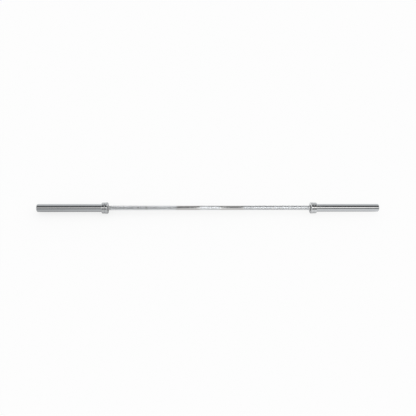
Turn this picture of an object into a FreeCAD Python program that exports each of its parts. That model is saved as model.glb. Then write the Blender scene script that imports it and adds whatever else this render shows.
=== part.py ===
import FreeCAD, Part
import math
import os

# Olympic barbell: a knurled steel shaft with a free-turning sleeve at each end.
# Millimetres. +X runs along the bar to the right, +Z is up, and the origin lies on the bar's
# axis at mid-length. Every piece is drawn for the right end and mirrored for the left one.

# Overall sizes
GRIP_LENGTH = 1295.0  # between the inner faces of the two collars
COLLAR_WIDTH = 38.0
LOAD_LENGTH = 406.5  # from a collar's plate side to the end of its sleeve
SHAFT_DIAMETER = 28.0
SLEEVE_DIAMETER = 50.0
COLLAR_DIAMETER = 72.0  # over the inboard band

# Knurling and ring marks on the shaft
KNURL_RISE = 0.2  # crests above the bare shaft
CENTRE_KNURL_LENGTH = 127.0
BARE_LENGTH = 150.5  # smooth stretch on each side of the centre knurl
KNURL_END_GAP = 8.0  # from the outer knurl's end to the collar's face
INNER_MARK_SPREAD = 810.0  # from the left inner ring mark to the right one
MARK_STEP = 50.0  # from the inner ring mark to the outer one
MARK_WIDTH = 5.0

# Journal, the thinner end of the shaft inside a sleeve
SHOULDER_HEIGHT = 1.5  # radial step from the grip down to the journal
SHAFT_END_CHAMFER = 1.5
CENTRE_HOLE_RADIUS = 3.5
CENTRE_HOLE_DEPTH = 6.0
SHAFT_END_GAP = 4.0  # from the shaft's end to the end cap

# Collar
COLLAR_TAPER = 1.0  # the outboard band's radius is this much smaller
COLLAR_GROOVE_WIDTH = 1.6  # at its bottom
COLLAR_GROOVE_DEPTH = 1.2  # below the outboard band, with walls at 45 degrees
COLLAR_INNER_ROUND = 4.0
COLLAR_PLATE_ROUND = 3.0
COLLAR_BORE_CHAMFER = 0.6

# Sleeve tube
TUBE_RECESS = 0.8  # the tube's inner end lies this far inside the collar's face
COLLAR_SEAT_STEP = 0.5  # the tube's radius is this much smaller under the collar
SLEEVE_END_CHAMFER = 3.0
MOUTH_CHAMFER = 0.8

# Running fits
RUNNING_CLEARANCE = 0.05  # radial, bushing on journal and seal on shaft
LOOSE_CLEARANCE = 0.1  # radial, cap in its bore and washers on the journal
END_PLAY = 0.3  # axial room of the sleeve at each thrust face
GROOVE_PLAY = 0.05  # room round a retaining ring in its groove

# Bushings
BUSHING_WALL = 2.0
BUSHING_LENGTH = 40.0  # without its flange
FLANGE_THICKNESS = 4.0
FLANGE_STEP = 4.0  # flange radius beyond the bushing's body
BUSHING_CHAMFER = 1.0

# Dust seal
SEAL_WIDTH = 6.0
SEAL_RECESS = 0.7  # from the tube's inner end to the seal
SEAL_GAP = 0.5  # from the seal to the shaft's shoulder
SEAL_BODY = 2.0  # radial thickness of the seal's outer wall
SEAL_WEB = 2.0  # axial thickness of the wall that carries the lip
SEAL_LIP = 0.8  # width of the lip's edge on the shaft

# Thrust washers and the retaining ring on the shaft
WASHER_THICKNESS = 2.0
WASHER_RIM = 1.0  # a washer's radius is this much less than the flange's
SHAFT_RING_THICKNESS = 1.2
SHAFT_RING_DEPTH = 0.55  # groove depth
SHAFT_RING_LAND = 3.0  # from the groove to the shaft's end
SHAFT_RING_BACK = 3.0  # radial width opposite the gap
SHAFT_RING_NOSE = 1.9  # radial width at the gap
SHAFT_RING_GAP = 5.0
SHAFT_RING_LUG = 2.2  # radius of the round lugs
SHAFT_RING_HOLE = 1.0  # radius of the plier holes

# End cap and its retaining ring
CAP_STEP = 1.0  # radial step that the cap seats on
CAP_THICKNESS = 4.0
CAP_WALL = 2.5
CAP_BOSS_SHORT = 1.5  # the raised middle stays this far inside the sleeve's end
CAP_BOSS_GAP = 0.6  # from the raised middle to the ring's lugs
CAP_BOSS_CHAMFER = 0.8
CAP_RING_THICKNESS = 1.75
CAP_RING_DEPTH = 1.25
CAP_RING_MARGIN = 4.0  # from the groove to the sleeve's end
CAP_RING_BACK = 4.0
CAP_RING_NOSE = 2.4
CAP_RING_GAP = 6.0
CAP_RING_LUG = 2.7
CAP_RING_HOLE = 1.25

# Radii that follow
shaft_r = SHAFT_DIAMETER / 2
knurl_r = shaft_r + KNURL_RISE
journal_r = shaft_r - SHOULDER_HEIGHT
shaft_groove_r = journal_r - SHAFT_RING_DEPTH
sleeve_r = SLEEVE_DIAMETER / 2
collar_seat_r = sleeve_r - COLLAR_SEAT_STEP
collar_r = COLLAR_DIAMETER / 2
collar_plate_r = collar_r - COLLAR_TAPER
seal_lip_r = shaft_r + RUNNING_CLEARANCE
bushing_bore_r = journal_r + RUNNING_CLEARANCE
bushing_r = bushing_bore_r + BUSHING_WALL
flange_r = bushing_r + FLANGE_STEP
seal_wall_r = flange_r - SEAL_BODY
washer_r = flange_r - WASHER_RIM
washer_bore_r = journal_r + LOOSE_CLEARANCE
cap_bore_r = flange_r + CAP_STEP
cap_r = cap_bore_r - LOOSE_CLEARANCE
cap_groove_r = cap_bore_r + CAP_RING_DEPTH
cap_ring_r = cap_groove_r - GROOVE_PLAY
cap_lug_z = cap_ring_r - CAP_RING_NOSE - CAP_RING_LUG
cap_boss_r = cap_lug_z - CAP_RING_LUG - CAP_BOSS_GAP

# Places along the right half, from the middle of the bar outwards
collar_x = GRIP_LENGTH / 2
plate_x = collar_x + COLLAR_WIDTH
sleeve_end_x = plate_x + LOAD_LENGTH
tube_x = collar_x + TUBE_RECESS
seal_x = tube_x + SEAL_RECESS
shoulder_x = seal_x + SEAL_WIDTH + SEAL_GAP
inner_seat_x = shoulder_x + WASHER_THICKNESS + END_PLAY + FLANGE_THICKNESS

# Places from the sleeve's end inwards
cap_groove_end_x = sleeve_end_x - CAP_RING_MARGIN
cap_groove_x = cap_groove_end_x - CAP_RING_THICKNESS - 2 * GROOVE_PLAY
cap_ring_x = cap_groove_x + GROOVE_PLAY
cap_x = cap_ring_x - CAP_THICKNESS
shaft_end_x = cap_x - SHAFT_END_GAP
shaft_groove_end_x = shaft_end_x - SHAFT_RING_LAND
shaft_groove_x = shaft_groove_end_x - SHAFT_RING_THICKNESS - 2 * GROOVE_PLAY
shaft_ring_x = shaft_groove_x + GROOVE_PLAY
outer_washer_x = shaft_ring_x - WASHER_THICKNESS
outer_seat_x = outer_washer_x - END_PLAY - FLANGE_THICKNESS

ORIGIN = FreeCAD.Vector(0, 0, 0)
AXIS = FreeCAD.Vector(1, 0, 0)
FULL_TURN = 360.0


def outline_edges(corners):
    """Edges of a closed outline through corners (x, r) or (x, r, rounding), in the XZ plane."""
    points = [FreeCAD.Vector(corner[0], 0, corner[1]) for corner in corners]
    starts = list(points)
    ends = list(points)
    arcs = {}
    for i, corner in enumerate(corners):
        if len(corner) == 2:
            continue
        point = points[i]
        rounding = corner[2]
        back = (points[i - 1] - point).normalize()
        ahead = (points[(i + 1) % len(points)] - point).normalize()
        half_angle = back.getAngle(ahead) / 2
        inward = (back + ahead).normalize()
        reach = rounding / math.tan(half_angle)
        starts[i] = point + back * reach
        ends[i] = point + ahead * reach
        middle = point + inward * (rounding / math.sin(half_angle) - rounding)
        arcs[i] = Part.Arc(starts[i], middle, ends[i])
    edges = []
    for i in range(len(points)):
        if i in arcs:
            edges.append(arcs[i].toShape())
        edges.append(Part.LineSegment(ends[i], starts[(i + 1) % len(points)]).toShape())
    return edges


def turned(corners):
    """The solid that a lathe would turn: an outline swept round the bar's axis."""
    face = Part.Face(Part.Wire(outline_edges(corners)))
    return face.revolve(ORIGIN, AXIS, FULL_TURN)


def disc(x, radius, thickness, y=0.0, z=0.0):
    """A round plate whose flat sides face along the bar."""
    return Part.makeCylinder(radius, thickness, FreeCAD.Vector(x, y, z), AXIS)


def outer_knurls():
    """(start, end) of each knurled stretch of the right-hand grip, parted by the ring marks."""
    inner_mark = INNER_MARK_SPREAD / 2
    marks = [inner_mark, inner_mark + MARK_STEP]
    starts = [CENTRE_KNURL_LENGTH / 2 + BARE_LENGTH]
    starts += [mark + MARK_WIDTH / 2 for mark in marks]
    ends = [mark - MARK_WIDTH / 2 for mark in marks]
    ends += [collar_x - KNURL_END_GAP]
    return zip(starts, ends)


def make_shaft():
    """The bar in one turned piece: knurled grip, shoulders, journals and ring grooves."""
    right = [(CENTRE_KNURL_LENGTH / 2, knurl_r), (CENTRE_KNURL_LENGTH / 2, shaft_r)]
    for start, end in outer_knurls():
        right += [(start, shaft_r), (start, knurl_r), (end, knurl_r), (end, shaft_r)]
    right += [
        (shoulder_x, shaft_r),
        (shoulder_x, journal_r),
        (shaft_groove_x, journal_r),
        (shaft_groove_x, shaft_groove_r),
        (shaft_groove_end_x, shaft_groove_r),
        (shaft_groove_end_x, journal_r),
        (shaft_end_x - SHAFT_END_CHAMFER, journal_r),
        (shaft_end_x, journal_r - SHAFT_END_CHAMFER),
        (shaft_end_x, CENTRE_HOLE_RADIUS),
        (shaft_end_x - CENTRE_HOLE_DEPTH, 0.0),
    ]
    left = [(-x, r) for x, r in reversed(right)]
    return turned(left + right)


def make_sleeve():
    """The tube that carries the plates, stepped for its collar and counterbored at both ends."""
    return turned([
        (tube_x, flange_r + MOUTH_CHAMFER),
        (tube_x, collar_seat_r),
        (plate_x, collar_seat_r),
        (plate_x, sleeve_r),
        (sleeve_end_x - SLEEVE_END_CHAMFER, sleeve_r),
        (sleeve_end_x, sleeve_r - SLEEVE_END_CHAMFER),
        (sleeve_end_x, cap_bore_r + MOUTH_CHAMFER),
        (sleeve_end_x - MOUTH_CHAMFER, cap_bore_r),
        (cap_groove_end_x, cap_bore_r),
        (cap_groove_end_x, cap_groove_r),
        (cap_groove_x, cap_groove_r),
        (cap_groove_x, cap_bore_r),
        (cap_x, cap_bore_r),
        (cap_x, flange_r),
        (outer_seat_x, flange_r),
        (outer_seat_x, bushing_r),
        (inner_seat_x, bushing_r),
        (inner_seat_x, flange_r),
        (tube_x + MOUTH_CHAMFER, flange_r),
    ])


def make_collar():
    """The ring on the sleeve's inner end: two bands with round shoulders and a groove between."""
    groove_r = collar_plate_r - COLLAR_GROOVE_DEPTH
    groove_x = collar_x + (COLLAR_WIDTH - COLLAR_GROOVE_WIDTH) / 2
    groove_end_x = groove_x + COLLAR_GROOVE_WIDTH
    return turned([
        (collar_x, collar_seat_r + COLLAR_BORE_CHAMFER),
        (collar_x, collar_r, COLLAR_INNER_ROUND),
        (groove_x - (collar_r - groove_r), collar_r),
        (groove_x, groove_r),
        (groove_end_x, groove_r),
        (groove_end_x + COLLAR_GROOVE_DEPTH, collar_plate_r),
        (plate_x, collar_plate_r, COLLAR_PLATE_ROUND),
        (plate_x, collar_seat_r),
        (collar_x + COLLAR_BORE_CHAMFER, collar_seat_r),
    ])


def make_dust_seal():
    """A rubber ring in the sleeve's mouth, with a tapered lip that wipes the shaft."""
    return turned([
        (seal_x, flange_r),
        (seal_x, seal_wall_r),
        (seal_x + SEAL_WIDTH - SEAL_WEB, seal_wall_r),
        (seal_x + SEAL_LIP, seal_lip_r),
        (seal_x + 2 * SEAL_LIP, seal_lip_r),
        (seal_x + SEAL_WIDTH, seal_wall_r),
        (seal_x + SEAL_WIDTH, flange_r),
    ])


def make_bushing(seat_x, flange_side):
    """A flanged bronze bush with its flange on the step at seat_x.

    flange_side is 1 where the flange faces the sleeve's end and -1 where it faces the grip.
    """
    outline = [
        (FLANGE_THICKNESS, bushing_bore_r),
        (FLANGE_THICKNESS, flange_r),
        (0.0, flange_r),
        (0.0, bushing_r),
        (BUSHING_CHAMFER - BUSHING_LENGTH, bushing_r),
        (-BUSHING_LENGTH, bushing_r - BUSHING_CHAMFER),
        (-BUSHING_LENGTH, bushing_bore_r),
    ]
    return turned([(seat_x + flange_side * along, r) for along, r in outline])


def make_washer(x):
    """A flat steel ring on the journal that a bushing's flange pushes against."""
    return turned([
        (x, washer_bore_r),
        (x, washer_r),
        (x + WASHER_THICKNESS, washer_r),
        (x + WASHER_THICKNESS, washer_bore_r),
    ])


def open_ring(band, lug_r, hole_r, gap, lug_z):
    """Gives a round band two lugs with plier holes near its top, and a gap between them."""
    x = band.BoundBox.XMin
    thickness = band.BoundBox.XLength
    lug_y = gap / 2 + lug_r
    lugs = [disc(x, lug_r, thickness, side * lug_y, lug_z) for side in (-1, 1)]
    holes = [disc(x, hole_r, thickness, side * lug_y, lug_z) for side in (-1, 1)]
    slot = Part.makeBox(thickness, gap, band.BoundBox.ZMax + lug_r, FreeCAD.Vector(x, -gap / 2, 0))
    return band.fuse(lugs).cut(holes + [slot])


def make_shaft_ring():
    """External retaining ring in the shaft's groove, widest opposite its gap, lugs outside."""
    inner_r = shaft_groove_r + GROOVE_PLAY
    outer_r = inner_r + (SHAFT_RING_BACK + SHAFT_RING_NOSE) / 2
    drop = (SHAFT_RING_BACK - SHAFT_RING_NOSE) / 2
    band = disc(shaft_ring_x, outer_r, SHAFT_RING_THICKNESS, z=-drop)
    ring = open_ring(band, SHAFT_RING_LUG, SHAFT_RING_HOLE, SHAFT_RING_GAP, inner_r + SHAFT_RING_LUG)
    return ring.cut(disc(shaft_ring_x, inner_r, SHAFT_RING_THICKNESS)).removeSplitter()


def make_cap_ring():
    """Internal retaining ring in the sleeve's groove, widest opposite its gap, lugs inside."""
    hollow_r = cap_ring_r - (CAP_RING_BACK + CAP_RING_NOSE) / 2
    rise = (CAP_RING_BACK - CAP_RING_NOSE) / 2
    hollow = disc(cap_ring_x, hollow_r, CAP_RING_THICKNESS, z=rise)
    band = disc(cap_ring_x, cap_ring_r, CAP_RING_THICKNESS).cut(hollow)
    return open_ring(band, CAP_RING_LUG, CAP_RING_HOLE, CAP_RING_GAP, cap_lug_z).removeSplitter()


def make_end_cap():
    """A moulded disc with a hollow back and a raised middle that fills the ring's eye."""
    boss_x = sleeve_end_x - CAP_BOSS_SHORT
    hollow_r = cap_boss_r - CAP_WALL
    return turned([
        (boss_x - CAP_WALL, 0.0),
        (boss_x, 0.0),
        (boss_x, cap_boss_r - CAP_BOSS_CHAMFER),
        (boss_x - CAP_BOSS_CHAMFER, cap_boss_r),
        (cap_ring_x, cap_boss_r),
        (cap_ring_x, cap_r),
        (cap_x, cap_r),
        (cap_x, hollow_r),
        (boss_x - CAP_WALL, hollow_r),
    ])


def right_pieces():
    """Every piece of the right end by its name."""
    return {
        "sleeve": make_sleeve(),
        "collar": make_collar(),
        "dust_seal": make_dust_seal(),
        "inner_washer": make_washer(shoulder_x),
        "inner_bushing": make_bushing(inner_seat_x, -1),
        "outer_bushing": make_bushing(outer_seat_x, 1),
        "outer_washer": make_washer(outer_washer_x),
        "shaft_ring": make_shaft_ring(),
        "end_cap": make_end_cap(),
        "end_cap_ring": make_cap_ring(),
    }


def main():
    os.makedirs("parts", exist_ok=True)
    make_shaft().exportStep("parts/shaft.step")
    for name, shape in right_pieces().items():
        shape.exportStep("parts/right_" + name + ".step")
        shape.mirror(ORIGIN, AXIS).exportStep("parts/left_" + name + ".step")


main()
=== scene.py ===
import math

import bpy
import numpy as np
from mathutils import Matrix, Vector


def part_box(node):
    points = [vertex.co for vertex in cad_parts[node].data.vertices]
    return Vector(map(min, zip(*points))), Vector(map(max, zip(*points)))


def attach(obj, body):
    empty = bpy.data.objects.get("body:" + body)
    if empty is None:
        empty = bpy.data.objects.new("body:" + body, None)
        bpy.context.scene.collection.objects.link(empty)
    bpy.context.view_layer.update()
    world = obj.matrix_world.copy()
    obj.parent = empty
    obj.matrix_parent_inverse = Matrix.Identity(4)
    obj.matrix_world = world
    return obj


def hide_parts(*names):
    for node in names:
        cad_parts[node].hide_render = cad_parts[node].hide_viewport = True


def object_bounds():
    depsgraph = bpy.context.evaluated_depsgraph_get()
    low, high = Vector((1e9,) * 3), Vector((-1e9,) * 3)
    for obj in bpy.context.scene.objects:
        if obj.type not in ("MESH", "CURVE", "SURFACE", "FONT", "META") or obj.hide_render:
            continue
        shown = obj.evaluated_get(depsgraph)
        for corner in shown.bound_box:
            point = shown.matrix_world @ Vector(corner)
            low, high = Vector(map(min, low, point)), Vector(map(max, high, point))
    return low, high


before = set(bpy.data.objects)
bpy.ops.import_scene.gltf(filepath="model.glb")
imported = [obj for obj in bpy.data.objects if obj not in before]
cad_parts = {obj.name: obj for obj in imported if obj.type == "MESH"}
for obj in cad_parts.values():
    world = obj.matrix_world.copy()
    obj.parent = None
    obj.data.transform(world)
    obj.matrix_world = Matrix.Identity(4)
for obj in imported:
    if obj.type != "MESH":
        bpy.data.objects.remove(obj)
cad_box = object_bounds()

# Olympic barbell on a pale studio floor. Lengths are in millimetres where nothing else is said: x runs
# along the bar and r out from its axis. Profiles are drawn for the right end and mirrored for the left.
MM = 0.001
BOX_DIGITS = 2  # sizes from the frame are kept to hundredths


def extent(node):
    """Start and end of a CAD node along the bar, and its radius, without rounding noise."""
    low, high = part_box(node)
    radius = max(math.hypot(v.co.y, v.co.z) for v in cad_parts[node].data.vertices)
    return [round(value / MM, BOX_DIGITS) for value in (low.x, high.x, radius)]


# Places and radii that the frame gives
floor_z = cad_box[0].z
shaft_end_x, crest_r = extent("shaft")[1:]
collar_x, plate_x, collar_r = extent("right_collar")
tube_x, sleeve_end_x, sleeve_r = extent("right_sleeve")
seal_x, seal_back_x, flange_r = extent("right_dust_seal")
cap_x, cap_face_x, cap_r = extent("right_end_cap")
shoulder_x = extent("right_inner_washer")[0]
inner_flange_x = extent("right_inner_bushing")[0]
outer_flange_x = extent("right_outer_bushing")[1]
shaft_ring_x = extent("right_shaft_ring")[:2]
cap_ring_x = extent("right_end_cap_ring")[:2]

# Knurling and ring marks on the shaft
CENTRE_KNURL_LENGTH = 127.0
BARE_LENGTH = 150.5  # smooth stretch on each side of the centre knurl
MARKS = (405.0, 455.0)  # middles of the ring marks
MARK_WIDTH = 5.0
KNURL_END_GAP = 8.0  # from the last band to the collar's face
KNURL_RISE = 0.2  # crests above the bare shaft
VALLEY_DEPTH = 0.03  # valleys below the bare shaft
TEETH = 56  # round the shaft
TOOTH_PITCH = 2.75  # along the shaft
TOOTH_FLAT = 0.56  # share of a tooth's half width that its flat top takes
FADE_COLUMNS = 2  # half pitches over which the teeth rise at a band's end
BAND_SEAT = 0.55  # depth of the shaft's seat under a band
BAND_OVERLAP = 0.05  # how far a band reaches into that seat
SEAM = 0.02  # from a band's end to the step beside it
RUN_OUT = 0.5  # from a band's end to the bare shaft's full radius

# Journal and end of the shaft
SHOULDER_HEIGHT = 1.5
SHAFT_CHAMFER = 1.5
SHAFT_RING_DEPTH = 0.55
CENTRE_HOLE_RADIUS = 3.5
CENTRE_HOLE_DEPTH = 6.0
GROOVE_PLAY = 0.05  # room on each side of a retaining ring

# Collar
COLLAR_SEAT_STEP = 0.5  # the tube's radius is this much smaller under the collar
COLLAR_TAPER = 1.0  # the outboard band's radius is this much smaller
COLLAR_GROOVE_WIDTH = 1.6  # at its bottom
COLLAR_GROOVE_DEPTH = 1.2  # below the outboard band, with walls at 45 degrees
COLLAR_INNER_ROUND = 4.0
COLLAR_PLATE_ROUND = 3.0
COLLAR_BORE_CHAMFER = 0.6

# Sleeve tube
SLEEVE_CHAMFER = 3.0
SLEEVE_CHAMFER_ROUNDS = (1.2, 0.6)
MOUTH_CHAMFER = 0.8
FLANGE_THICKNESS = 4.0
FLANGE_STEP = 4.0  # flange radius beyond the bushing's body
CAP_STEP = 1.0  # radial step that the end cap seats on
CAP_RING_DEPTH = 1.25

# Dust seal
SEAL_BODY = 2.0  # radial thickness of the outer wall
SEAL_WEB = 2.0  # axial thickness of the wall that carries the lip
SEAL_LIP = 0.8
SEAL_CLEARANCE = 0.05

# End cap
CAP_WALL = 2.5
CAP_BOSS_RADIUS = 12.35  # the raised middle, clear of the ring's lugs
CAP_BOSS_CHAMFER = 0.8
CAP_DISH_RADIUS = 8.2
CAP_DISH_SLOPE = 0.6
CAP_DISH_DEPTH = 0.3

# Rounded edges, and how finely each piece is turned
SEAT_ROUND = 0.1
MOUTH_ROUND = 0.15
THIN_ROUND = 0.2
CAP_MOUTH_ROUND = 0.25
EDGE_ROUND = 0.3
JOURNAL_ROUND = 0.35
SOFT_ROUND = 0.4
ARC_STEPS = 5
SHAFT_SEGMENTS = 120
SLEEVE_SEGMENTS = 160
COLLAR_SEGMENTS = 192
SMALL_SEGMENTS = 120

# Radii and places that follow
shaft_r = crest_r - KNURL_RISE
valley_r = shaft_r - VALLEY_DEPTH
seat_r = shaft_r - BAND_SEAT
bed_r = seat_r - BAND_OVERLAP
journal_r = shaft_r - SHOULDER_HEIGHT
collar_seat_r = sleeve_r - COLLAR_SEAT_STEP
collar_plate_r = collar_r - COLLAR_TAPER
bushing_r = flange_r - FLANGE_STEP
cap_bore_r = flange_r + CAP_STEP
centre_knurl = (-CENTRE_KNURL_LENGTH / 2, CENTRE_KNURL_LENGTH / 2)
mark_edges = [mark + side * MARK_WIDTH / 2 for mark in MARKS for side in (-1, 1)]
band_ends = [centre_knurl[1] + BARE_LENGTH] + mark_edges + [collar_x - KNURL_END_GAP]
outer_knurls = list(zip(band_ends[::2], band_ends[1::2]))
grip_start, grip_end = band_ends[0], band_ends[-1]


# Mesh helpers

def rounded(corners, closed):
    """Profile points (x, r, wear) with each corner (x, r, rounding) turned into an arc.

    wear is 1 on an arc, where handling rubs the plating, and 0 elsewhere.
    """
    points = []
    count = len(corners)
    for i, (x, r, *rounding) in enumerate(corners):
        inside = closed or 0 < i < count - 1
        if not rounding or not inside:
            points.append((x, r, 0.0))
            continue
        here = np.array((x, r))
        back = np.array(corners[i - 1][:2]) - here
        ahead = np.array(corners[(i + 1) % count][:2]) - here
        back /= np.linalg.norm(back)
        ahead /= np.linalg.norm(ahead)
        half = math.acos(np.clip(back @ ahead, -1.0, 1.0)) / 2
        reach = rounding[0] / math.tan(half)
        inward = (back + ahead) / np.linalg.norm(back + ahead)
        centre = here + inward * rounding[0] / math.sin(half)
        start = here + back * reach - centre
        end = here + ahead * reach - centre
        turn = math.atan2(start[0] * end[1] - start[1] * end[0], start @ end)
        for step in range(ARC_STEPS + 1):
            angle = turn * step / ARC_STEPS
            c, s = math.cos(angle), math.sin(angle)
            spot = centre + np.array((c * start[0] - s * start[1], s * start[0] + c * start[1]))
            points.append((spot[0], spot[1], 0.0 if step in (0, ARC_STEPS) else 1.0))
    return points


def mirrored(corners):
    """The same profile for the left end, still running in the direction that faces outwards."""
    return [(-x, *rest) for x, *rest in reversed(corners)]


def profile_normals(points, closed):
    """Outward direction (x, r) at each profile point, led by the longer of its two edges."""
    places = np.array([point[:2] for point in points])
    ahead = np.roll(places, -1, axis=0) - places
    if not closed:
        ahead[-1] = ahead[-2]
    out = np.stack([-ahead[:, 1], ahead[:, 0]], axis=1)
    weighted = out * np.linalg.norm(out, axis=1, keepdims=True)
    behind = np.roll(weighted, 1, axis=0)
    if not closed:
        behind[0] = weighted[0]
    total = weighted + behind
    return total / np.linalg.norm(total, axis=1, keepdims=True)


def new_object(name, vertices, faces):
    """A mesh object in the scene."""
    mesh = bpy.data.meshes.new(name)
    mesh.from_pydata([tuple(v) for v in vertices], [], faces)
    mesh.validate()
    made = bpy.data.objects.new(name, mesh)
    bpy.context.scene.collection.objects.link(made)
    return made


def lathe(name, corners, segments, closed=True):
    """A turned piece: the profile swept round the bar's axis, shaded smooth along true normals."""
    points = rounded(corners, closed)
    normals = profile_normals(points, closed)
    angles = np.arange(segments) * 2 * math.pi / segments
    ring = np.stack([np.cos(angles), np.sin(angles)], axis=1)
    vertices, vertex_normals, wear, rows = [], [], [], []
    for (x, r, worn), (nx, nr) in zip(points, normals):
        spokes = ring if r > 0 else np.zeros((1, 2))
        rows.append(range(len(vertices), len(vertices) + len(spokes)))
        vertices += [(x * MM, r * MM * c, r * MM * s) for c, s in spokes]
        facing = (nx, nr) if r > 0 else (math.copysign(1.0, nx), 0.0)
        vertex_normals += [(facing[0], facing[1] * c, facing[1] * s) for c, s in spokes]
        wear += [worn] * len(spokes)
    faces = []
    for i in range(len(points) if closed else len(points) - 1):
        a, b = rows[i], rows[(i + 1) % len(points)]
        for k in range(segments):
            after = (k + 1) % segments
            if len(a) == 1:
                faces.append((a[0], b[after], b[k]))
            elif len(b) == 1:
                faces.append((a[k], a[after], b[0]))
            else:
                faces.append((a[k], a[after], b[after], b[k]))
    made = new_object(name, vertices, faces)
    mesh = made.data
    attribute = mesh.attributes.new("wear", "FLOAT", "POINT")
    attribute.data.foreach_set("value", np.array(wear, np.float32))
    mesh.shade_smooth()
    mesh.normals_split_custom_set_from_vertices(vertex_normals)
    return made


def knurl(name, start, end):
    """A ring of flat-topped diamond teeth between two crossing helices, fading out at both ends.

    Grid points alternate between tooth centres and the crossings of the valleys.
    """
    last = 2 * round((end - start) / TOOTH_PITCH)
    around = 2 * TEETH
    half_pitch = (end - start) / last
    half_angle = math.pi / TEETH

    def at(columns, spokes, r):
        angle = spokes * half_angle
        return np.stack([start + columns * half_pitch, r * np.cos(angle), r * np.sin(angle)], axis=-1)

    # Points: the valleys' grid, the two rims of the inner wall, and four corners on each tooth
    column, spoke = np.meshgrid(np.arange(last + 1), np.arange(around), indexing="ij")
    valleys = at(column, spoke, valley_r).reshape(-1, 3)
    rims = at(np.repeat([0, last], around), np.tile(np.arange(around), 2), bed_r)
    is_tooth = (column > 0) & (column < last) & ((column + spoke) % 2 == 0)
    c, s = column[is_tooth], spoke[is_tooth]
    fade = np.minimum(1.0, np.minimum(c, last - c) / FADE_COLUMNS)
    top_r = valley_r + (crest_r - valley_r) * fade
    moves = ((-1, 0), (0, -1), (1, 0), (0, 1))
    tops = [at(c + dc * TOOTH_FLAT, s + ds * TOOTH_FLAT, top_r) for dc, ds in moves]
    vertices = np.concatenate([valleys, rims] + tops) * MM

    # Teeth: a flat top and its flanks down to the four valley crossings around it
    first_top = len(valleys) + len(rims)
    top = [first_top + k * len(c) + np.arange(len(c)) for k in range(len(moves))]
    foot = [(c + dc) * around + (s + ds) % around for dc, ds in moves]
    quads = [np.stack(top[::-1], axis=1)]
    for k in range(len(moves)):
        after = (k + 1) % len(moves)
        quads.append(np.stack([top[k], top[after], foot[after], foot[k]], axis=1))

    # End walls and inner wall
    ring = np.arange(around)
    turned = (ring + 1) % around
    first_rim = len(valleys)
    last_rim = first_rim + around
    last_row = last * around
    for here, there in ((first_rim, 0), (last_row, last_rim), (last_rim, first_rim)):
        quads.append(np.stack([here + ring, here + turned, there + turned, there + ring], axis=1))
    faces = np.concatenate(quads).tolist()

    # Triangles between the teeth along the two ends
    for edge_column, inner_column, flip in ((0, 1, False), (last, last - 1, True)):
        for m in range(edge_column % 2, around, 2):
            before, after = (m - 1) % around, (m + 1) % around
            tip = inner_column * around + m
            for a, b in ((before, m), (m, after)):
                a, b = (b, a) if flip else (a, b)
                faces.append((edge_column * around + a, edge_column * around + b, tip))
    return new_object(name, vertices, faces)


# Shader helpers

def add(tree, kind, values=None, **settings):
    """A shader node with its settings, and each input given a value or linked to a socket."""
    made = tree.nodes.new(kind)
    for key, value in settings.items():
        setattr(made, key, value)
    for key, value in (values or {}).items():
        if isinstance(value, bpy.types.NodeSocket):
            tree.links.new(value, made.inputs[key])
        else:
            made.inputs[key].default_value = value
    return made


def calc(tree, operation, a, b=0.0, clamp=False):
    """Socket with the result of one operation on sockets or numbers."""
    return add(tree, "ShaderNodeMath", {0: a, 1: b}, operation=operation, use_clamp=clamp).outputs[0]


def product(tree, *factors):
    """Socket with the product of sockets or numbers."""
    total = factors[0]
    for factor in factors[1:]:
        total = calc(tree, "MULTIPLY", total, factor)
    return total


def weigh(tree, *layers):
    """Sum of (socket, weight) layers, held within 0 and 1."""
    total = 0.0
    for socket, weight in layers:
        total = calc(tree, "ADD", calc(tree, "MULTIPLY", socket, weight), total, clamp=True)
    return total


def spread(tree, value, low, high, to_low=0.0, to_high=1.0):
    """Maps value from low..high to to_low..to_high, held at the ends."""
    values = {0: value, 1: low, 2: high, 3: to_low, 4: to_high}
    return add(tree, "ShaderNodeMapRange", values).outputs[0]


def grey(value, warmth=0.0):
    """A grey that leans to red where warmth is above 0, and to blue where it is below."""
    return (value * (1 + warmth), value, value * (1 - warmth), 1.0)


def blend_colour(tree, factor, a, b):
    """Socket with colour a where factor is 0, and b where it is 1."""
    values = {"Factor": factor, "A": a, "B": b}
    return add(tree, "ShaderNodeMix", values, data_type="RGBA").outputs["Result"]


def new_material(name):
    """A material, with its node tree and its shader."""
    made = bpy.data.materials.new(name)
    made.use_nodes = True
    tree = made.node_tree
    return made, tree, tree.nodes["Principled BSDF"]


def place(tree):
    """Socket for the place on the piece in metres, then its x and its distance from the bar's axis."""
    coordinate = add(tree, "ShaderNodeTexCoord").outputs["Object"]
    x, y, z = add(tree, "ShaderNodeSeparateXYZ", {0: coordinate}).outputs
    square = calc(tree, "ADD", product(tree, y, y), product(tree, z, z))
    return coordinate, x, calc(tree, "SQRT", square)


def noise(tree, vector, scale, detail=3.0):
    """Socket with cloudy noise from 0 to 1."""
    values = {"Vector": vector, "Scale": scale, "Detail": detail}
    return add(tree, "ShaderNodeTexNoise", values).outputs["Fac"]


def relief(tree, shader, height, strength, depth):
    """Fine bumps of the given depth in metres."""
    bump = add(tree, "ShaderNodeBump", {"Strength": strength, "Distance": depth, "Height": height})
    tree.links.new(bump.outputs["Normal"], shader.inputs["Normal"])


# Turned metal. Noise scales are per metre.
LINE_LEAN = 1.7  # the lathe lines shift with the radius by this much, so end faces carry them too
LINE_DETAIL = 2.0
LINE_DEPTH = 0.00002
HAZE_SCALE = 28.0
SCUFF_SCALES = (14.0, 620.0, 620.0)
SCUFF_DETAIL = 2.0
SCUFF_RANGE = (0.60, 0.74)
SCUFF_DEPTH = -0.4  # as a share of the lathe lines' depth
HAZE_DULLS = 0.5
SCUFF_DULLS = 0.6
WEAR_DULLS = 0.2
LINE_ROUGHENS = 0.45
HAZE_ROUGHENS = 0.35
SCUFF_ROUGHENS = 0.5
WEAR_ROUGHENS = 0.25


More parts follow.
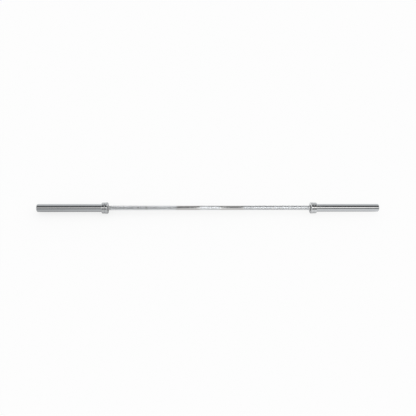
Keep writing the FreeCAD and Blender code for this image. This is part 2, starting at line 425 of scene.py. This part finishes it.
def turned_metal(name, colour, dull, rough, lines, scuffs, bump=0.12):
    """Metal with fine lathe lines round the bar, soft haze, and scuffs that run along it."""
    made, tree, shader = new_material(name)
    coordinate, x, radius = place(tree)
    along = calc(tree, "ADD", x, product(tree, radius, LINE_LEAN))
    values = {"W": product(tree, along, lines), "Scale": 1.0, "Detail": LINE_DETAIL}
    turning = add(tree, "ShaderNodeTexNoise", values, noise_dimensions="1D").outputs["Fac"]
    haze = noise(tree, coordinate, HAZE_SCALE)
    values = {0: coordinate, 1: SCUFF_SCALES}
    stretched = add(tree, "ShaderNodeVectorMath", values, operation="MULTIPLY").outputs[0]
    streak = spread(tree, noise(tree, stretched, 1.0, SCUFF_DETAIL), *SCUFF_RANGE)
    scuff = product(tree, streak, scuffs)
    worn = add(tree, "ShaderNodeAttribute", attribute_name="wear").outputs["Fac"]
    dullness = weigh(tree, (haze, HAZE_DULLS), (scuff, SCUFF_DULLS), (worn, WEAR_DULLS))
    tree.links.new(blend_colour(tree, dullness, colour, dull), shader.inputs["Base Color"])
    level = weigh(
        tree,
        (turning, LINE_ROUGHENS),
        (haze, HAZE_ROUGHENS),
        (scuff, SCUFF_ROUGHENS),
        (worn, WEAR_ROUGHENS),
    )
    tree.links.new(spread(tree, level, 0.0, 1.0, *rough), shader.inputs["Roughness"])
    shader.inputs["Metallic"].default_value = 1.0
    height = calc(tree, "ADD", turning, product(tree, scuff, SCUFF_DEPTH))
    relief(tree, shader, height, bump, LINE_DEPTH)
    return made


# Chrome on the knurling
FLANK_LOW = 0.03  # above the valleys, where the blend up the flanks starts
FLANK_HIGH = 0.05  # below the crests, where it ends
# The colour grows darker and rougher down in the valleys in patches of this noise scale, range and share
VALLEY_PATCH_SCALE = 55.0
VALLEY_PATCH_RANGE = (0.3, 0.7)
VALLEY_PATCH_SHARES = (0.35, 0.85)
PLATING_SCALE = 2600.0
PLATING_DETAIL = 2.0
PLATING_BUMP = 0.15
PLATING_DEPTH = 0.00003
VALLEY_ROUGHENS = 0.6
PLATING_ROUGHENS = 0.4


def knurl_metal(name, crest_colour, valley_colour, rough):
    """Chrome on the teeth: a bright colour on the crests that grows darker and rougher down the flanks into
    the valleys, in patches.
    """
    made, tree, shader = new_material(name)
    coordinate, _, radius = place(tree)
    crest = spread(tree, radius, (valley_r + FLANK_LOW) * MM, (crest_r - FLANK_HIGH) * MM)
    patch = spread(tree, noise(tree, coordinate, VALLEY_PATCH_SCALE), *VALLEY_PATCH_RANGE, *VALLEY_PATCH_SHARES)
    # Base colour darkens from the crests down into the valleys, in noise patches
    valley_darkening = product(tree, calc(tree, "SUBTRACT", 1.0, crest), patch)
    grain = noise(tree, coordinate, PLATING_SCALE, PLATING_DETAIL)
    tree.links.new(blend_colour(tree, valley_darkening, crest_colour, valley_colour), shader.inputs["Base Color"])
    level = weigh(tree, (valley_darkening, VALLEY_ROUGHENS), (grain, PLATING_ROUGHENS))
    tree.links.new(spread(tree, level, 0.0, 1.0, *rough), shader.inputs["Roughness"])
    shader.inputs["Metallic"].default_value = 1.0
    relief(tree, shader, grain, PLATING_BUMP, PLATING_DEPTH)
    return made


# Moulded rubber and plastic
GRAIN_DETAIL = 4.0
GRAIN_BUMP = 0.25
GRAIN_DEPTH = 0.00008
RUBBED_SCALE = 90.0
RUBBED_RANGE = (0.42, 0.72)
GRAIN_ROUGHENS = 0.6
RUBBED_ROUGHENS = 0.4


def moulded(name, colour, worn_colour, rough, scale):
    """Rubber or plastic with a fine moulded grain and rubbed high spots."""
    made, tree, shader = new_material(name)
    coordinate = place(tree)[0]
    grain = noise(tree, coordinate, scale, GRAIN_DETAIL)
    rubbed = spread(tree, noise(tree, coordinate, RUBBED_SCALE), *RUBBED_RANGE)
    tree.links.new(blend_colour(tree, rubbed, colour, worn_colour), shader.inputs["Base Color"])
    level = weigh(tree, (grain, GRAIN_ROUGHENS), (rubbed, RUBBED_ROUGHENS))
    tree.links.new(spread(tree, level, 0.0, 1.0, *rough), shader.inputs["Roughness"])
    relief(tree, shader, grain, GRAIN_BUMP, GRAIN_DEPTH)
    return made


# Materials
chrome_sleeve = turned_metal(
    "chrome_sleeve", colour=grey(0.62, -0.030), dull=grey(0.52, -0.020),
    rough=(0.04, 0.12), lines=5200.0, scuffs=0.8, bump=0.06,
)
chrome_collar = turned_metal(
    "chrome_collar", colour=grey(0.635, -0.018), dull=grey(0.55, -0.018),
    rough=(0.02, 0.07), lines=3800.0, scuffs=0.35, bump=0.03,
)
chrome_shaft = turned_metal(
    "chrome_shaft", colour=grey(0.60, 0.008), dull=grey(0.50, 0.012),
    rough=(0.04, 0.11), lines=4300.0, scuffs=0.5, bump=0.04,
)
chrome_knurl = knurl_metal(
    "chrome_knurl", crest_colour=grey(0.76, -0.018), valley_colour=grey(0.60, -0.014), rough=(0.07, 0.22)
)
bronze = turned_metal(
    "bronze", colour=(0.62, 0.40, 0.17, 1.0), dull=(0.38, 0.24, 0.11, 1.0),
    rough=(0.26, 0.50), lines=2600.0, scuffs=0.4,
)
ground_steel = turned_metal(
    "ground_steel", colour=grey(0.55), dull=grey(0.42, 0.01), rough=(0.22, 0.42), lines=2200.0, scuffs=0.3
)
dark_steel = turned_metal(
    "dark_steel", colour=grey(0.10), dull=grey(0.05),
    rough=(0.38, 0.62), lines=1500.0, scuffs=0.3, bump=0.2,
)
rubber = moulded(
    "rubber", colour=grey(0.020), worn_colour=grey(0.040), rough=(0.62, 0.85), scale=2400.0
)
plastic = moulded(
    "plastic", colour=grey(0.028), worn_colour=grey(0.045), rough=(0.36, 0.58), scale=1800.0
)


# Profiles of the turned pieces, as corners (x, r) or (x, r, rounding)

def shaft_profile():
    """Right half of the shaft: seats for the knurl bands, ring marks, journal, ring groove, centre hole."""
    groove_start, groove_end = shaft_ring_x[0] - GROOVE_PLAY, shaft_ring_x[1] + GROOVE_PLAY
    groove_r = journal_r - SHAFT_RING_DEPTH
    centre_end = centre_knurl[1]
    corners = [
        (centre_end, seat_r),
        (centre_end + SEAM, valley_r),
        (centre_end + RUN_OUT, shaft_r, SOFT_ROUND),
        (grip_start - RUN_OUT, shaft_r, SOFT_ROUND),
        (grip_start - SEAM, valley_r),
        (grip_start, seat_r),
    ]
    for (_, end), (following, _) in zip(outer_knurls, outer_knurls[1:]):
        corners += [
            (end, seat_r),
            (end + SEAM, shaft_r, THIN_ROUND),
            (following - SEAM, shaft_r, THIN_ROUND),
            (following, seat_r),
        ]
    return corners + [
        (grip_end, seat_r),
        (grip_end + SEAM, valley_r),
        (grip_end + RUN_OUT, shaft_r, SOFT_ROUND),
        (shoulder_x, shaft_r, JOURNAL_ROUND),
        (shoulder_x, journal_r, JOURNAL_ROUND),
        (groove_start, journal_r, SEAT_ROUND),
        (groove_start, groove_r, SEAT_ROUND),
        (groove_end, groove_r, SEAT_ROUND),
        (groove_end, journal_r, SEAT_ROUND),
        (shaft_end_x - SHAFT_CHAMFER, journal_r, JOURNAL_ROUND),
        (shaft_end_x, journal_r - SHAFT_CHAMFER, JOURNAL_ROUND),
        (shaft_end_x, CENTRE_HOLE_RADIUS, THIN_ROUND),
        (shaft_end_x - CENTRE_HOLE_DEPTH, 0.0),
    ]


def sleeve_profile():
    """Tube stepped for its collar, and counterbored for bushings, seal, end cap and cap ring."""
    groove_start, groove_end = cap_ring_x[0] - GROOVE_PLAY, cap_ring_x[1] + GROOVE_PLAY
    groove_r = cap_bore_r + CAP_RING_DEPTH
    inner_seat_x = inner_flange_x + FLANGE_THICKNESS
    outer_seat_x = outer_flange_x - FLANGE_THICKNESS
    return [
        (tube_x, flange_r + MOUTH_CHAMFER, MOUTH_ROUND),
        (tube_x, collar_seat_r, MOUTH_ROUND),
        (plate_x, collar_seat_r),
        (plate_x, sleeve_r),
        (sleeve_end_x - SLEEVE_CHAMFER, sleeve_r, SLEEVE_CHAMFER_ROUNDS[0]),
        (sleeve_end_x, sleeve_r - SLEEVE_CHAMFER, SLEEVE_CHAMFER_ROUNDS[1]),
        (sleeve_end_x, cap_bore_r + MOUTH_CHAMFER, CAP_MOUTH_ROUND),
        (sleeve_end_x - MOUTH_CHAMFER, cap_bore_r, CAP_MOUTH_ROUND),
        (groove_end, cap_bore_r, SEAT_ROUND),
        (groove_end, groove_r, SEAT_ROUND),
        (groove_start, groove_r, SEAT_ROUND),
        (groove_start, cap_bore_r, SEAT_ROUND),
        (cap_x, cap_bore_r, SEAT_ROUND),
        (cap_x, flange_r, SEAT_ROUND),
        (outer_seat_x, flange_r, SEAT_ROUND),
        (outer_seat_x, bushing_r, SEAT_ROUND),
        (inner_seat_x, bushing_r, SEAT_ROUND),
        (inner_seat_x, flange_r, SEAT_ROUND),
        (tube_x + MOUTH_CHAMFER, flange_r, MOUTH_ROUND),
    ]


def collar_profile():
    """Two bands with rounded edges and a groove between them."""
    groove_x = (collar_x + plate_x) / 2
    groove_r = collar_plate_r - COLLAR_GROOVE_DEPTH
    groove_start = groove_x - COLLAR_GROOVE_WIDTH / 2
    groove_end = groove_x + COLLAR_GROOVE_WIDTH / 2
    return [
        (collar_x, collar_seat_r + COLLAR_BORE_CHAMFER, MOUTH_ROUND),
        (collar_x, collar_r, COLLAR_INNER_ROUND),
        (groove_start - (collar_r - groove_r), collar_r, SOFT_ROUND),
        (groove_start, groove_r, EDGE_ROUND),
        (groove_end, groove_r, EDGE_ROUND),
        (groove_end + COLLAR_GROOVE_DEPTH, collar_plate_r, SOFT_ROUND),
        (plate_x, collar_plate_r, COLLAR_PLATE_ROUND),
        (plate_x, collar_seat_r),
        (collar_x + COLLAR_BORE_CHAMFER, collar_seat_r, MOUTH_ROUND),
    ]


def seal_profile():
    """Ring with a lip that leans towards the grip and reaches in to the shaft."""
    wall_r = flange_r - SEAL_BODY
    lip_r = shaft_r + SEAL_CLEARANCE
    lip_x = seal_x + SEAL_LIP
    return [
        (seal_x, wall_r, EDGE_ROUND),
        (seal_x, flange_r, EDGE_ROUND),
        (seal_back_x, flange_r, EDGE_ROUND),
        (seal_back_x, wall_r, EDGE_ROUND),
        (lip_x + SEAL_LIP, lip_r, THIN_ROUND),
        (lip_x, lip_r, THIN_ROUND),
        (seal_back_x - SEAL_WEB, wall_r, SOFT_ROUND),
    ]


def cap_profile():
    """Hollow-backed disc with a rim under the ring and a raised, dished middle."""
    shell_x = cap_face_x - CAP_WALL
    hollow_r = CAP_BOSS_RADIUS - CAP_WALL
    rim_x = cap_ring_x[0]
    dish_x = cap_face_x - CAP_DISH_DEPTH
    return [
        (shell_x, 0.0),
        (shell_x, hollow_r, EDGE_ROUND),
        (cap_x, hollow_r, EDGE_ROUND),
        (cap_x, cap_r, THIN_ROUND),
        (rim_x, cap_r, THIN_ROUND),
        (rim_x, CAP_BOSS_RADIUS, EDGE_ROUND),
        (cap_face_x - CAP_BOSS_CHAMFER, CAP_BOSS_RADIUS, EDGE_ROUND),
        (cap_face_x, CAP_BOSS_RADIUS - CAP_BOSS_CHAMFER, EDGE_ROUND),
        (cap_face_x, CAP_DISH_RADIUS + CAP_DISH_SLOPE, EDGE_ROUND),
        (dish_x, CAP_DISH_RADIUS, EDGE_ROUND),
        (dish_x, 0.0),
    ]


# Pieces on their bodies

def finish_piece(piece, material, body, slot, *nodes):
    """Gives a piece its material and body, and hides the CAD nodes that it stands for. The slot is not
    used.
    """
    piece.data.materials.append(material)
    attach(piece, body)
    if nodes:
        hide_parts(*nodes)


right_half = shaft_profile()
shaft = lathe("bar_shaft", mirrored(right_half) + right_half, SHAFT_SEGMENTS, closed=False)
finish_piece(shaft, chrome_shaft, "bar", "shaft_chrome", "shaft")

bands = {"centre": centre_knurl}
for count, (start, end) in enumerate(outer_knurls, 1):
    bands["right_%d" % count] = (start, end)
    bands["left_%d" % count] = (-end, -start)
for where, (start, end) in bands.items():
    finish_piece(knurl("knurl_" + where, start, end), chrome_knurl, "bar", "shaft_chrome")

for side in ("left", "right"):
    for piece, profile, closed, segments, material, slot in (
        ("sleeve", sleeve_profile(), True, SLEEVE_SEGMENTS, chrome_sleeve, "sleeve_chrome"),
        ("collar", collar_profile(), True, COLLAR_SEGMENTS, chrome_collar, "collar_chrome"),
        ("dust_seal", seal_profile(), True, SMALL_SEGMENTS, rubber, "seal_rubber"),
        ("end_cap", cap_profile(), False, SMALL_SEGMENTS, plastic, "cap_plastic"),
    ):
        corners = mirrored(profile) if side == "left" else profile
        made = lathe(side + "_" + piece + "_skin", corners, segments, closed)
        finish_piece(made, material, side + "_rotor", slot, side + "_" + piece)

for name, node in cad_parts.items():
    for ending, material in (("bushing", bronze), ("washer", ground_steel), ("ring", dark_steel)):
        if name.endswith(ending):
            node.material_slots[0].link = "OBJECT"
            node.material_slots[0].material = material


# Floor. Lengths are in metres here.
FLOOR_HALF = 40.0
PAPER_SCALE = 3.0
PAPER_RANGE = (0.3, 0.7)
PAPER_COLOURS = (0.80, 0.82)
PAPER_WHITE = 0.993  # level of the open floor for the camera
SKY_SAMPLES = 16
SHADOW_REACH = 0.4
SHADOW_SPAN = (-1.1, 1.1)  # the shadow is darker at the left end
SHADOW_LEVELS = (0.80, 0.93)
MIRROR_REACH = 0.15
MIRROR_RANGE = (0.1, 0.9)
MIRROR_LEVELS = (0.30, 1.0)
FALL_SPAN = (-1.1, 0.1)  # the mirrored floor dims towards the left
FALL_LEVELS = (0.62, 1.0)
GLOW_SHARE = 0.97


def open_sky(tree, reach):
    """1 where nothing stands over the floor within reach, and less under and beside the bar."""
    return add(tree, "ShaderNodeAmbientOcclusion", {"Distance": reach}, samples=SKY_SAMPLES).outputs["AO"]


def paper():
    """Pale paper that shows white with a soft shadow to the camera, and to metal that mirrors it."""
    made, tree, _ = new_material("paper")
    tree.nodes.clear()
    path = add(tree, "ShaderNodeLightPath").outputs
    coordinate, x, _ = place(tree)
    mottle = spread(tree, noise(tree, coordinate, PAPER_SCALE), *PAPER_RANGE, *PAPER_COLOURS)
    diffuse = add(tree, "ShaderNodeBsdfDiffuse", {"Color": mottle}).outputs[0]
    shadow = spread(tree, x, *SHADOW_SPAN, *SHADOW_LEVELS)
    seen = spread(tree, open_sky(tree, SHADOW_REACH), 0.0, 1.0, shadow, PAPER_WHITE)
    shade = spread(tree, open_sky(tree, MIRROR_REACH), *MIRROR_RANGE, *MIRROR_LEVELS)
    fall = spread(tree, x, *FALL_SPAN, *FALL_LEVELS)
    mirrored_ray = calc(tree, "MAXIMUM", path["Is Glossy Ray"], path["Is Transmission Ray"])
    camera_level = product(tree, path["Is Camera Ray"], seen)
    mirror_level = product(tree, mirrored_ray, shade, fall)
    values = {"Color": grey(1.0), "Strength": calc(tree, "ADD", camera_level, mirror_level)}
    glow = add(tree, "ShaderNodeEmission", values).outputs[0]
    share = product(tree, calc(tree, "MAXIMUM", path["Is Camera Ray"], mirrored_ray), GLOW_SHARE)
    surface = add(tree, "ShaderNodeMixShader", {0: share, 1: diffuse, 2: glow}).outputs[0]
    tree.links.new(surface, add(tree, "ShaderNodeOutputMaterial").inputs["Surface"])
    return made


quarters = ((-1, -1), (1, -1), (1, 1), (-1, 1))
floor_corners = [(x * FLOOR_HALF, y * FLOOR_HALF, floor_z) for x, y in quarters]
floor = new_object("floor", floor_corners, [tuple(range(len(floor_corners)))])
floor.data.materials.append(paper())

# Camera: front view from above, the left end a little nearer, with the bar level in the picture
DISTANCE = 2.9  # metres
ELEVATION = math.radians(41.0)
NEARER_LEFT = 0.01265  # sine of the turn for each metre of distance
ROLL = math.radians(0.05)
FOCAL_PIXELS = 452.6
FRAME_PIXELS = 416.0
ORIGIN_OFFSET = (1.97, 0.1)  # pixels from the picture's middle to the bar's
SENSOR_WIDTH = 36.0
CLIP_END = 200.0

turn = math.asin(NEARER_LEFT * DISTANCE)
forward = Vector((
    math.sin(turn),
    math.cos(turn) * math.cos(ELEVATION),
    -math.cos(turn) * math.sin(ELEVATION),
))
bar_axis = Vector((1, 0, 0))
level_right = (bar_axis - forward * bar_axis.dot(forward)).normalized()
level_up = level_right.cross(forward)
right = level_right * math.cos(ROLL) - level_up * math.sin(ROLL)
up = right.cross(forward)
offset = right * ORIGIN_OFFSET[0] + up * ORIGIN_OFFSET[1]
camera_place = -forward * DISTANCE - offset * DISTANCE / FOCAL_PIXELS
axes = Matrix((right, up, -forward)).transposed().to_4x4()
camera = bpy.data.objects.new("camera", bpy.data.cameras.new("camera"))
camera.matrix_world = Matrix.Translation(camera_place) @ axes
camera.data.sensor_width = SENSOR_WIDTH
camera.data.lens = FOCAL_PIXELS / FRAME_PIXELS * SENSOR_WIDTH
camera.data.clip_end = CLIP_END
bpy.context.scene.collection.objects.link(camera)
bpy.context.scene.camera = camera
bpy.context.scene.view_settings.view_transform = "Standard"

# Studio light: a soft tent over the bar. Its levels run along the arch, in degrees from the front
# horizon over the top to the back one, and each stretch of the bar mirrors a slice of its own.
SKY = ((0, 0.30), (22, 0.34), (44, 0.46), (56, 0.12), (66, 0.04), (88, 0.04), (96, 0.38),
       (122, 0.58), (150, 0.84), (180, 1.02))
BARE = ((0, 0.76), (38, 0.66), (50, 0.26), (88, 0.24), (97, 0.30), (122, 0.44), (150, 0.66), (180, 0.9))
LEFT_GRIP = ((0, 0.40), (41, 0.30), (95, 0.03), (102, 1.5), (170, 1.5), (180, 1.0))
CENTRE_GRIP = ((0, 3.0), (40, 3.4), (48, 4.4), (88, 4.4), (95, 0.05), (165, 0.05), (180, 0.3))
RIGHT_GRIP = ((0, 1.4), (40, 1.6), (48, 3.0), (88, 3.0), (95, 0.05), (165, 0.05), (180, 0.3))
LEFT_WALL = ((0, 1.5), (57, 2.0), (63, 0.05), (145, 0.05), (155, 0.9), (180, 1.2))
RIGHT_WALL = ((0, 0.7), (26, 0.7), (34, 0.3), (80, 0.3), (85, 1.8), (119, 1.8), (124, 0.2), (180, 0.2))
FAR_WALL = ((0, 1.45), (60, 1.35), (90, 1.1), (120, 1.4), (180, 1.6))
END_WALL = ((0, 0.95), (60, 0.85), (90, 0.75), (120, 0.85), (180, 0.95))

# Sideways directions, from -1 at the left to 1 at the right, where the tent's walls start, and the
# widths of the soft edges between its slices
LEFT_WALL_AT = -0.58
RIGHT_WALL_AT = 0.50
FAR_LEFT_AT = -0.72
FAR_RIGHT_AT = 0.80
END_AT = 0.93
BEYOND = 2.0  # past every direction
WALL_EDGE = 0.10
FAR_EDGE = 0.06
END_EDGE = 0.05
GRIP_EDGE = 0.010
CENTRE_EDGE = 0.006
RIGHT_EDGE = 0.012
MARK_EDGE = 0.003
MARK_MARGIN = 10.0  # millimetres of knurling beyond the ring marks that share their slice

# A warm light strip over the sleeves and collars, brighter towards the right
STRIP_ANGLE = math.radians(49.0)
STRIP_HALF = math.radians(7.5)
STRIP_CORE = 0.7  # share of its half width at the full level
STRIP_REACH = 0.40
STRIP_EDGE = 0.02
STRIP_SPAN = (-0.35, 0.35)
STRIP_LEVELS = (0.90, 2.04)
COOL_TINT = grey(1.0, -0.008)
WARM_TINT = grey(1.0, 0.04)
BACKDROP = grey(0.975)
ARCH_DEGREES = 180.0
RAMP_MIDDLE = 0.5  # where new stops of a ramp start, before they get their places


def across(x):
    """Sideways part of the sight line to place x on the bar, which smooth metal there mirrors as it is."""
    return (bar_axis * x * MM - camera_place).normalized().x


def stretch(start, end, edge):
    """Slice that a stretch of the bar mirrors: its limits, drawn in by its soft edges, and their width."""
    return across(start) + edge, across(end) - edge, edge


def slice_of_tent(tree, dx, low, high, edge):
    """1 between two sideways directions, fading to 0 over edge outside them."""
    return product(tree, spread(tree, dx, low - edge, low), spread(tree, dx, high, high + edge, 1.0, 0.0))


def arch_ramp(tree, arch, levels):
    """Light level by the angle along the arch."""
    ramp = add(tree, "ShaderNodeValToRGB", {0: calc(tree, "DIVIDE", arch, math.pi)})
    stops = ramp.color_ramp.elements
    while len(stops) < len(levels):
        stops.new(RAMP_MIDDLE)
    for stop, (angle, level) in zip(stops, levels):
        stop.position = angle / ARCH_DEGREES
        stop.color = grey(level)
    return ramp.outputs[0]


def light_strip(tree, dx, arch):
    """Level of the strip, which leaves out the stretch between the collars."""
    aside = calc(tree, "ABSOLUTE", dx)
    above = calc(tree, "ABSOLUTE", calc(tree, "SUBTRACT", arch, STRIP_ANGLE))
    between = slice_of_tent(tree, dx, *stretch(-grip_end, grip_end, GRIP_EDGE))
    return product(
        tree,
        spread(tree, aside, STRIP_REACH - STRIP_EDGE, STRIP_REACH + STRIP_EDGE, 1.0, 0.0),
        spread(tree, above, STRIP_HALF * STRIP_CORE, STRIP_HALF, 1.0, 0.0),
        spread(tree, dx, *STRIP_SPAN, *STRIP_LEVELS),
        calc(tree, "SUBTRACT", 1.0, between),
    )


def studio():
    """World that lights the bar with the tent, and shows the camera a plain white backdrop."""
    world = bpy.data.worlds.new("studio")
    world.use_nodes = True
    tree = world.node_tree
    tree.nodes.clear()
    direction = add(tree, "ShaderNodeTexCoord").outputs["Generated"]
    dx, dy, dz = add(tree, "ShaderNodeSeparateXYZ", {0: direction}).outputs
    arch = calc(tree, "ARCTAN2", dz, product(tree, dy, -1.0))
    marks_start, marks_end = mark_edges[0] - MARK_MARGIN, mark_edges[-1] + MARK_MARGIN
    strip = light_strip(tree, dx, arch)
    level = calc(tree, "ADD", arch_ramp(tree, arch, SKY), strip)
    for levels, limits in (
        (BARE, stretch(-grip_end, grip_end, GRIP_EDGE)),
        (LEFT_GRIP, stretch(-grip_end, -grip_start, GRIP_EDGE)),
        (CENTRE_GRIP, stretch(*centre_knurl, CENTRE_EDGE)),
        (RIGHT_GRIP, stretch(grip_start, grip_end, RIGHT_EDGE)),
        (SKY, stretch(-marks_end, -marks_start, MARK_EDGE)),
        (BARE, stretch(marks_start, marks_end, MARK_EDGE)),
        (LEFT_WALL, (-BEYOND, LEFT_WALL_AT, WALL_EDGE)),
        (RIGHT_WALL, (RIGHT_WALL_AT, BEYOND, WALL_EDGE)),
        (FAR_WALL, (-BEYOND, FAR_LEFT_AT, FAR_EDGE)),
        (FAR_WALL, (FAR_RIGHT_AT, BEYOND, FAR_EDGE)),
        (END_WALL, (-BEYOND, -END_AT, END_EDGE)),
        (END_WALL, (END_AT, BEYOND, END_EDGE)),
    ):
        inside = slice_of_tent(tree, dx, *limits)
        values = {"Factor": inside, "A": level, "B": arch_ramp(tree, arch, levels)}
        level = add(tree, "ShaderNodeMix", values).outputs["Result"]
    tint = blend_colour(tree, calc(tree, "MINIMUM", strip, 1.0), COOL_TINT, WARM_TINT)
    light = add(tree, "ShaderNodeBackground", {"Color": tint, "Strength": level}).outputs[0]
    white = add(tree, "ShaderNodeBackground", {"Color": BACKDROP, "Strength": 1.0}).outputs[0]
    camera_ray = add(tree, "ShaderNodeLightPath").outputs["Is Camera Ray"]
    surface = add(tree, "ShaderNodeMixShader", {0: camera_ray, 1: light, 2: white}).outputs[0]
    tree.links.new(surface, add(tree, "ShaderNodeOutputWorld").inputs["Surface"])
    return world


bpy.context.scene.world = studio()
